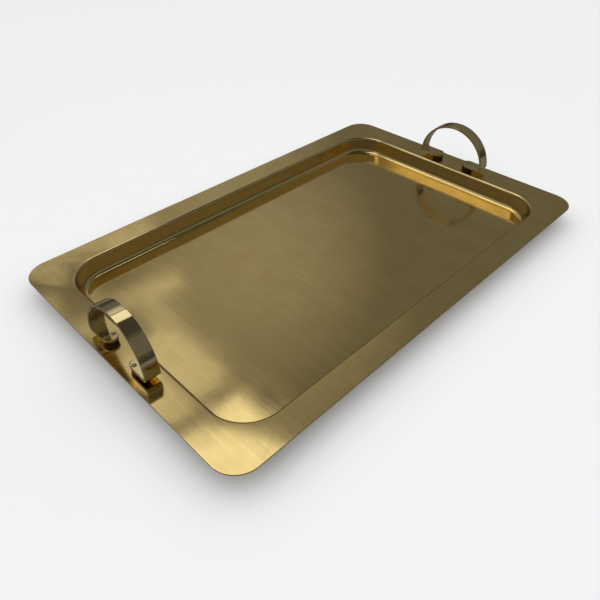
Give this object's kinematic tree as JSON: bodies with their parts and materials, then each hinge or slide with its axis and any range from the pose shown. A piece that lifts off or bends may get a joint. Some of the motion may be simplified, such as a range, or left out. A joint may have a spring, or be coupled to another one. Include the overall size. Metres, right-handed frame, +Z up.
{
  "type": "serving tray",
  "caption": "Rectangular brass serving tray with a broad flat rim, a shallow drafted recess and a riveted hoop handle of flat strip at each end.",
  "frame": {"origin": "centre of the pan floor's underside, where the tray stands", "axes": "+X along the tray's length through both handles, +Y towards the rear long side, +Z up"},
  "size_m": [0.5, 0.32, 0.0692],
  "materials": {
    "pan_brass": "brushed and polished sheet, slightly tarnished",
    "handle_brass": "polished strip with fine lengthwise brushing",
    "fitting_brass": "polished, darker in the seams"
  },
  "bodies": {
    "root": {"tray_pan": "pan_brass", "handle_left": "handle_brass", "spacer_left_front": "fitting_brass", "rivet_left_front_inner": "fitting_brass", "burr_left_front_inner": "fitting_brass", "rivet_left_front_outer": "fitting_brass", "burr_left_front_outer": "fitting_brass", "spacer_left_rear": "fitting_brass", "rivet_left_rear_inner": "fitting_brass", "burr_left_rear_inner": "fitting_brass", "rivet_left_rear_outer": "fitting_brass", "burr_left_rear_outer": "fitting_brass", "handle_right": "handle_brass", "spacer_right_front": "fitting_brass", "rivet_right_front_inner": "fitting_brass", "burr_right_front_inner": "fitting_brass", "rivet_right_front_outer": "fitting_brass", "burr_right_front_outer": "fitting_brass", "spacer_right_rear": "fitting_brass", "rivet_right_rear_inner": "fitting_brass", "burr_right_rear_inner": "fitting_brass", "rivet_right_rear_outer": "fitting_brass", "burr_right_rear_outer": "fitting_brass"}
  },
  "joints": []
}
